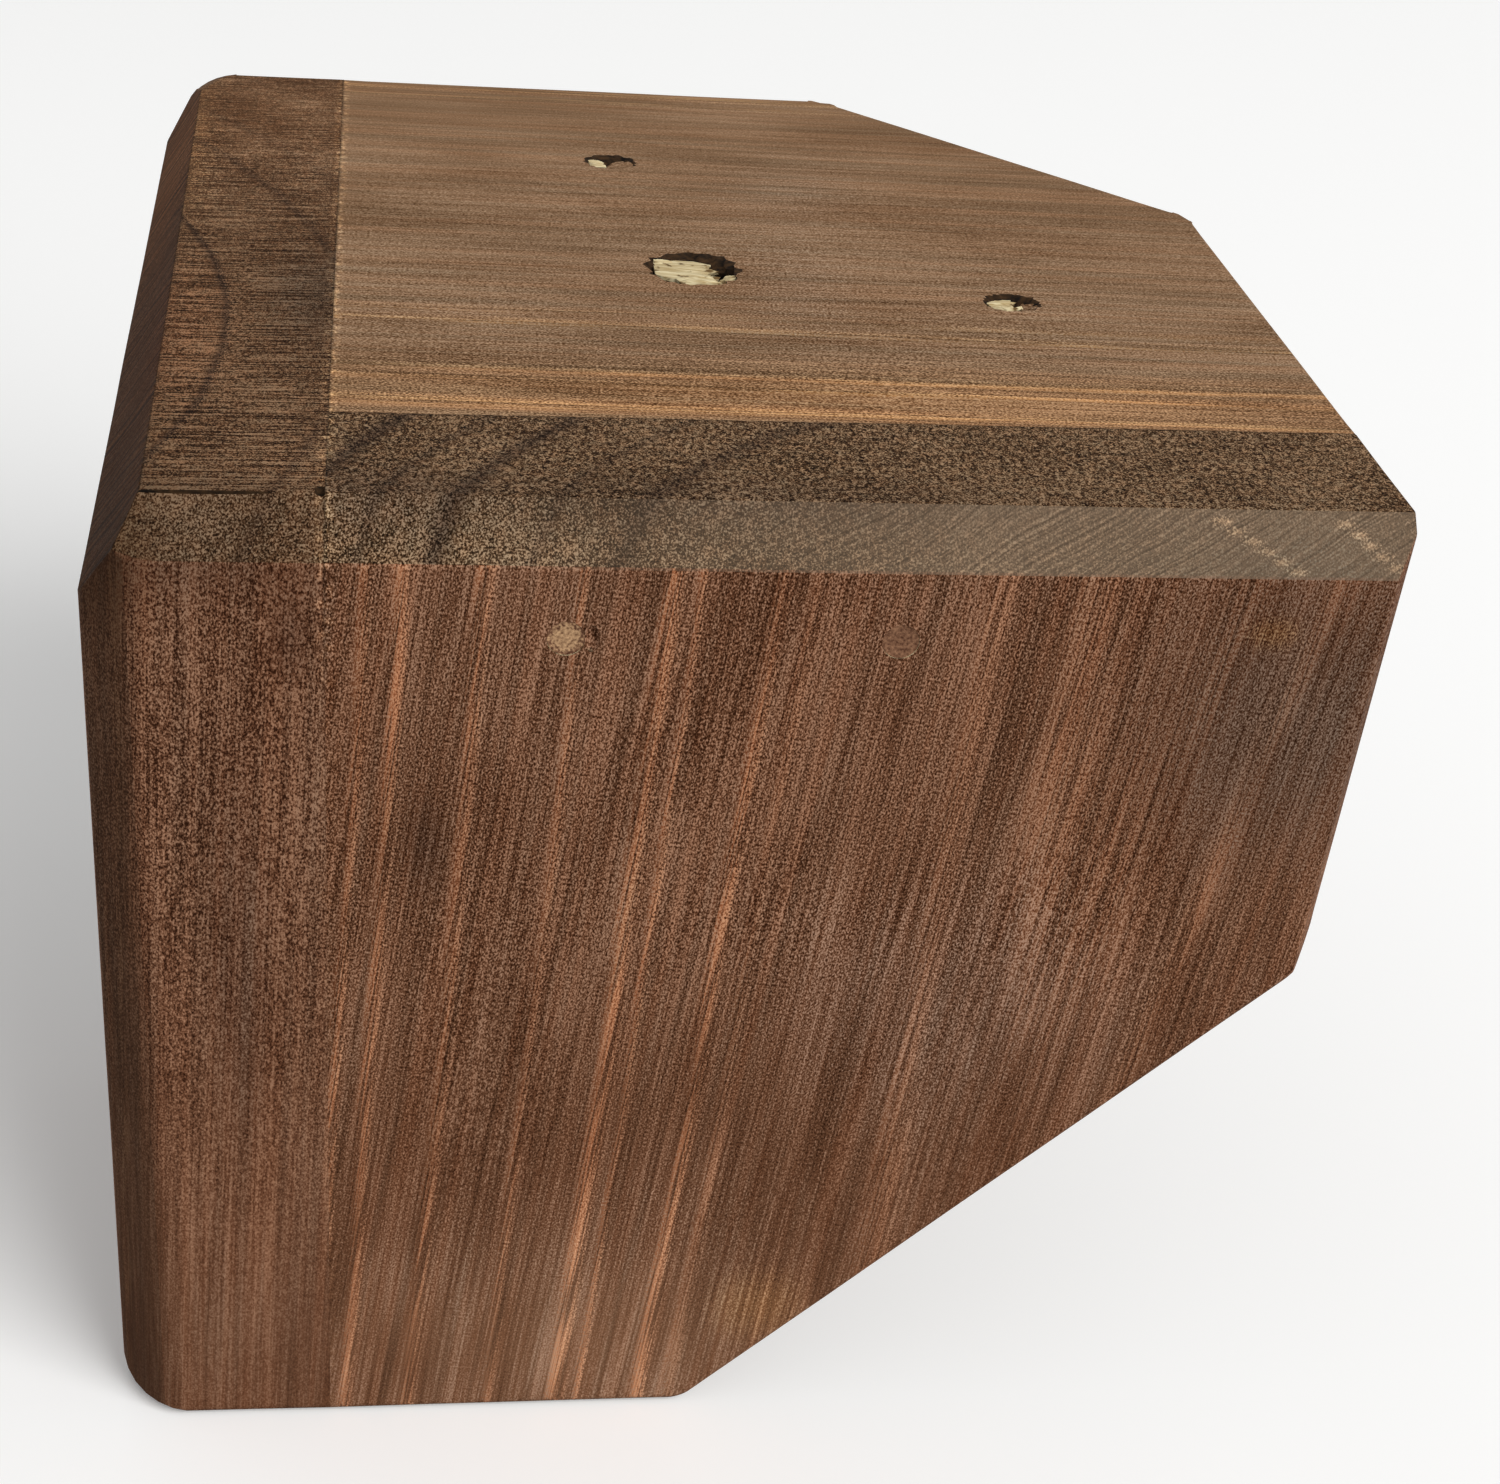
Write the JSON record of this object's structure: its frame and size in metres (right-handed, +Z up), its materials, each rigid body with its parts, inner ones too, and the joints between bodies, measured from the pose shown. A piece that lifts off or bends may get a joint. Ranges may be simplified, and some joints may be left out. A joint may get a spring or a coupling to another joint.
{
  "type": "wooden bed leg",
  "caption": "Stained wooden corner bed leg: upright boards glued in an L around a drilled mounting block, with chamfered edges and a sloping cut to the foot.",
  "frame": {"origin": "centre of the bolt hole's mouth on the level mounting face", "axes": "+X along the front face away from the outer corner, +Y towards the back, +Z up out of the mounting face"},
  "size_m": [0.1399, 0.1399, 0.122],
  "materials": {
    "stained_pine": "dark walnut stain, sanded, matt",
    "nail_steel": "bright drawn wire",
    "wood_putty": "dry pale wood putty"
  },
  "bodies": {
    "root": {"side_board": "stained_pine", "front_board": "stained_pine", "corner_block": "stained_pine", "front_nails": "nail_steel", "side_nails": "nail_steel", "front_nail_fillers": "wood_putty", "side_nail_fillers": "wood_putty"}
  },
  "joints": []
}
